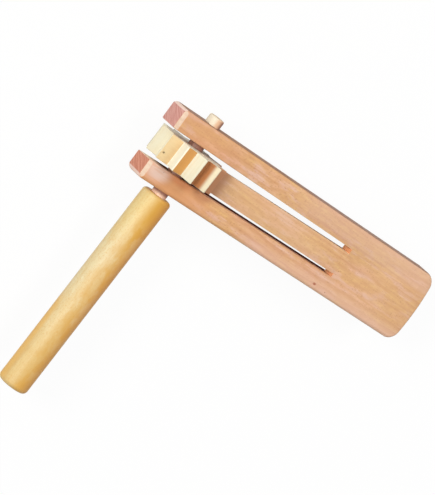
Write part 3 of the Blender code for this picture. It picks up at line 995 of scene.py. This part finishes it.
def dowel_beech():
    """Sanded beech dowel for the spindle: pale neck, painted shade between the arms, cream peg."""
    finish, tree, shader = new_finish("dowel_beech")
    pith = (AXIS_X - 12 * MM, MID_Y, AXIS_Z - 20 * MM)
    place, _, figure, cut_end, wear, hands = wood_basis(
        tree, pith, ACROSS_TURN, ring_width=1.9, wander=3.0, worn_width=0.6 * MM, evenness=0.4
    )
    level = axes(tree, place["Object"])["Y"]

    fibre = step_between(tree, figure["Streaks"], 0.3, 0.7)
    wood = tint(tree, fibre, colour(244, 214, 192), colour(234, 194, 166))
    wood = stain(tree, wood, figure["Rings"], 0.4, (190, 132, 98))
    wood = stain(tree, wood, figure["Flecks"], 0.35, (170, 112, 80))

    # Painted shade browns the neck on its side away from the key, and darkens the stretch in the arms.
    wood = stain(tree, wood, facing_way(tree, place, SHADED_SIDE, 0.3, 0.9), 0.5, (186, 126, 100))
    marked = step_between(tree, level, BOARD_LOW.y - 3.4 * MM, BOARD_LOW.y - 0.9 * MM)
    dark = tint(tree, fibre, colour(130, 68, 46), colour(94, 44, 28))
    wood = tint(tree, times(tree, marked, 0.85), wood, dark)

    # The peg end is cream, with painted shade browning its side away from the key.
    peg = step_between(tree, level, BOARD_HIGH.y - 3 * MM, BOARD_HIGH.y + 0.5 * MM)
    cream = tint(tree, fibre, colour(242, 233, 212), colour(234, 219, 190))
    cream = stain(tree, cream, facing_way(tree, place, SHADED_SIDE, 0.0, 0.5), 0.7, (228, 164, 116))
    cream = stain(tree, cream, facing_way(tree, place, SHADED_SIDE, 0.5, 0.95), 0.9, (136, 78, 54))
    wood = tint(tree, times(tree, peg, 0.95), wood, cream)
    rays = step_between(tree, cut_end["Rays"], 0.3, 0.7)
    end = tint(tree, rays, colour(224, 194, 156), colour(234, 210, 174))
    end = stain(tree, end, cut_end["Pores"], 0.5, (168, 122, 92))
    wood = tint(tree, cut_end["Mask"], wood, end)
    wood = stain(tree, wood, wear, 0.35, (246, 232, 206))
    feed(
        tree,
        shader.inputs,
        {
            "Base Color": wood,
            "Roughness": step_between(tree, hands["Smudge"], 0.3, 0.7, 0.46, 0.6),
            "Normal": bumps(tree, figure["Height"], 0.35, 0.1 * MM),
        },
    )
    return finish


def yellow_varnish():
    """A turned dowel under warm yellow varnish, blotched where the varnish lies thicker."""
    finish, tree, shader = new_finish("yellow_varnish")
    pith = (AXIS_X + 16 * MM, MID_Y, AXIS_Z - 24 * MM)
    place, grain, figure, cut_end, wear, hands = wood_basis(
        tree, pith, ACROSS_TURN, ring_width=3.4, wander=6.0, worn_width=1.0 * MM, evenness=0.2
    )
    level = axes(tree, place["Object"])["Y"]

    # Yellow wood, a little deeper towards the low end, under blotched varnish.
    lower = step_between(tree, level, HANDLE_HIGH.y - 75 * MM, HANDLE_LOW.y + 15 * MM)
    fibre = step_between(tree, figure["Streaks"], 0.3, 0.7)
    upper_wood = tint(tree, fibre, colour(232, 219, 180), colour(228, 211, 164))
    lower_wood = tint(tree, fibre, colour(225, 199, 142), colour(220, 189, 126))
    wood = tint(tree, lower, upper_wood, lower_wood)
    wood = stain(tree, wood, step_between(tree, figure["Mottle"], 0.3, 0.7), 0.36, (214, 182, 116))
    blotch = step_between(tree, cloud(tree, grain, (0.05, 0.11, 0.11), 3, 0.55), 0.44, 0.66)
    wood = stain(tree, wood, blotch, 0.28, (216, 174, 96))
    wood = stain(tree, wood, figure["Rings"], 0.25, (202, 152, 80))
    wood = stain(tree, wood, figure["Flecks"], 0.25, (186, 130, 66))

    # The varnish is yellower at the top; painted shade makes the shaded side and the lower lit edge
    # amber.
    at_top = step_between(tree, level, HANDLE_HIGH.y - 50 * MM, HANDLE_HIGH.y - 12 * MM)
    wood = stain(tree, wood, at_top, 0.5, (229, 201, 124))
    near_top = step_between(tree, level, HANDLE_HIGH.y - 60 * MM, HANDLE_HIGH.y - 20 * MM, 0.72, 0.98)
    broken = step_between(tree, cloud(tree, grain, (0.09, 0.17, 0.17), 3, 0.6), 0.4, 0.6, 0.6, 1.0)
    broken = either(tree, broken, at_top)
    shaded_half = times(tree, facing_way(tree, place, SHADED_SIDE, -0.3, 0.5), broken)
    wood = tint(tree, times(tree, shaded_half, near_top), wood, colour(209, 156, 60))
    wood = stain(tree, wood, times(tree, blotch, shaded_half), 0.4, (214, 160, 66))
    shaded_edge = facing_way(tree, place, SHADED_SIDE, 0.35, 0.95)
    shaded_edge = times(tree, shaded_edge, step_between(tree, lower, 0.0, 0.8, 0.57, 0.42))
    wood = tint(tree, shaded_edge, wood, colour(208, 137, 62))
    lit_edge = facing_way(tree, place, LIT_SIDE, 0.55, 0.85)
    lit_edge = times(tree, lit_edge, step_between(tree, lower, 0.0, 0.3))
    wood = stain(tree, wood, lit_edge, 0.75, (230, 180, 92))
    stipple = step_between(tree, cloud(tree, grain, (0.8, 1.3, 1.3), 2, 0.6), 0.5, 0.7)
    wood = stain(tree, wood, stipple, 0.42, (214, 162, 84))
    end = stain(tree, colour(222, 180, 108), cut_end["Pores"], 0.45, (180, 130, 66))
    wood = tint(tree, cut_end["Mask"], wood, end)
    wood = stain(tree, wood, wear, 0.3, (240, 216, 164))
    wood = stain(tree, wood, hands["Specks"], 0.4, (176, 120, 56))
    feed(
        tree,
        shader.inputs,
        {
            "Base Color": wood,
            "Roughness": step_between(tree, hands["Smudge"], 0.3, 0.7, 0.46, 0.58),
            "Normal": bumps(tree, figure["Height"], 0.25, 0.1 * MM),
            "Specular IOR Level": 0.35,
            "Coat Weight": 0.06,
            "Coat Roughness": 0.42,
        },
    )
    return finish


def dull_nail_steel():
    """Tarnished steel for the nail, brighter along its edges."""
    finish, tree, shader = new_finish("dull_nail_steel")
    grain = grain_space(tree, (AXIS_X, NAIL_Y, AXIS_Z), ACROSS_TURN)[1]
    hands = place_group(tree, HANDLING, {"Grain": grain})
    wear = place_group(tree, WORN_EDGES, {"Grain": grain, "Width": 0.25 * MM, "Evenness": 0.3})["Mask"]
    tarnish = cloud(tree, grain, (1.2, 1.2, 1.2), 4, 0.6)
    steel = tint(tree, step_between(tree, tarnish, 0.35, 0.65), colour(120, 104, 88), colour(92, 70, 54))
    steel = stain(tree, steel, wear, 0.6, (170, 160, 148))
    rough = step_between(tree, hands["Smudge"], 0.3, 0.7, 0.38, 0.6)
    feed(tree, shader.inputs, {"Base Color": steel, "Roughness": rough, "Metallic": 1.0})
    return finish


def dress(piece, finish, node, body=None):
    piece.data.materials.clear()
    piece.data.materials.append(finish)
    if body:
        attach(piece, body)
    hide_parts(node)


# Camera, light and floor
def camera_axes():
    """The picture's right and down directions, and the way back to the camera."""
    level = math.cos(VIEW_RISE)
    back = Vector((-math.sin(VIEW_YAW) * level, math.sin(VIEW_RISE), math.cos(VIEW_YAW) * level))
    upward = (Vector((0, 1, 0)) - back * back.y).normalized()
    sideways = upward.cross(back)
    right = math.cos(VIEW_ROLL) * upward + math.sin(VIEW_ROLL) * sideways
    down = -math.sin(VIEW_ROLL) * upward + math.cos(VIEW_ROLL) * sideways
    return right, down, back


def place_camera():
    right, down, back = camera_axes()
    lens = bpy.data.cameras.new("camera")
    lens.lens = LENS
    lens.sensor_width = SENSOR_WIDTH
    lens.sensor_fit = "HORIZONTAL"
    camera = bpy.data.objects.new("camera", lens)
    bpy.context.scene.collection.objects.link(camera)
    turn = Matrix((right, -down, back)).transposed().to_4x4()
    spot = VIEW_MIDDLE + right * VIEW_SHIFT_RIGHT + down * VIEW_SHIFT_DOWN + back * VIEW_DISTANCE
    camera.matrix_world = Matrix.Translation(spot) @ turn
    bpy.context.scene.camera = camera


def add_softbox(name, towards, distance, size, power, tone):
    lamp = bpy.data.lights.new(name, "AREA")
    lamp.shape = "DISK"
    lamp.size = size
    lamp.energy = power
    lamp.color = tone
    softbox = bpy.data.objects.new(name, lamp)
    bpy.context.scene.collection.objects.link(softbox)
    way = Vector(towards).normalized()
    softbox.location = LIGHT_MIDDLE + way * distance
    softbox.rotation_euler = way.to_track_quat("Z", "Y").to_euler()


def seen_ray(tree):
    """1 where a ray comes straight, mirrored or through glass from the camera."""
    path = put(tree, "ShaderNodeLightPath").outputs
    seen = either(tree, path["Is Camera Ray"], path["Is Glossy Ray"])
    return either(tree, seen, path["Is Transmission Ray"])


def mix_in_white(tree, output, amount, plain, white):
    """Shows the plain shader, with this much of the white one."""
    mixed = put(tree, "ShaderNodeMixShader", {0: amount, 1: plain.outputs[0], 2: white.outputs[0]})
    tree.links.new(mixed.outputs[0], tree.nodes[output].inputs["Surface"])


def light_room():
    """A white room whose soft light falls off towards the tail, a key from the arms' end and a fill."""
    world = bpy.data.worlds.new("studio")
    world.use_nodes = True
    tree = world.node_tree
    plain = tree.nodes["Background"]
    sky = put(tree, "ShaderNodeTexCoord").outputs["Generated"]
    side = vectors(tree, "DOT_PRODUCT", sky, ROOM_BRIGHT_SIDE)
    strength = step_between(tree, side, -0.6, 0.9, ROOM_DIM, ROOM_BRIGHT)
    feed(tree, plain.inputs, {"Color": WHITE, "Strength": strength})
    white = put(tree, "ShaderNodeBackground", {"Color": WHITE, "Strength": 1.0})
    mix_in_white(tree, "World Output", seen_ray(tree), plain, white)
    bpy.context.scene.world = world
    add_softbox(
        "key", towards=(-0.885, 0.05, 0.46), distance=5.0, size=1.5, power=158.0, tone=(1.0, 0.985, 0.96)
    )
    add_softbox(
        "fill", towards=(0.15, 0.6, 0.8), distance=4.5, size=2.4, power=68.5, tone=(1.0, 0.98, 0.95)
    )


def lay_floor():
    """A pale grey floor that looks white and keeps a faint shadow."""
    put_down_tools()
    bpy.ops.mesh.primitive_plane_add(size=FLOOR_SIZE, location=(0, 0, -FLOOR_DROP))
    floor = settle("floor")
    finish, tree, shader = new_finish("pale_floor")
    seen = seen_ray(tree)
    base = tint(tree, seen, FLOOR_GREY, WHITE)
    feed(tree, shader.inputs, {"Base Color": base, "Roughness": 0.9, "Specular IOR Level": 0.0})
    white = put(tree, "ShaderNodeEmission", {"Color": WHITE, "Strength": 1.0})
    mix_in_white(tree, "Material Output", times(tree, seen, FLOOR_GLOW), shader, white)
    floor.data.materials.append(finish)


place_camera()
light_room()
lay_floor()

BEECH = lacquered_beech()
board = make_board()
dress(board, BEECH, "frame_block", "frame")
tongue = make_tongue()
dress(tongue, BEECH, "tongue")
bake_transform(tongue)
dress(make_cog(), pale_limewood(), "cog_wheel", "rotor")
dress(make_spindle(), dowel_beech(), "spindle", "rotor")
dress(make_handle(), yellow_varnish(), "handle", "rotor")
dress(make_nail(), dull_nail_steel(), "cog_pin", "rotor")

put_down_tools()
bpy.context.scene.view_settings.view_transform = "Standard"
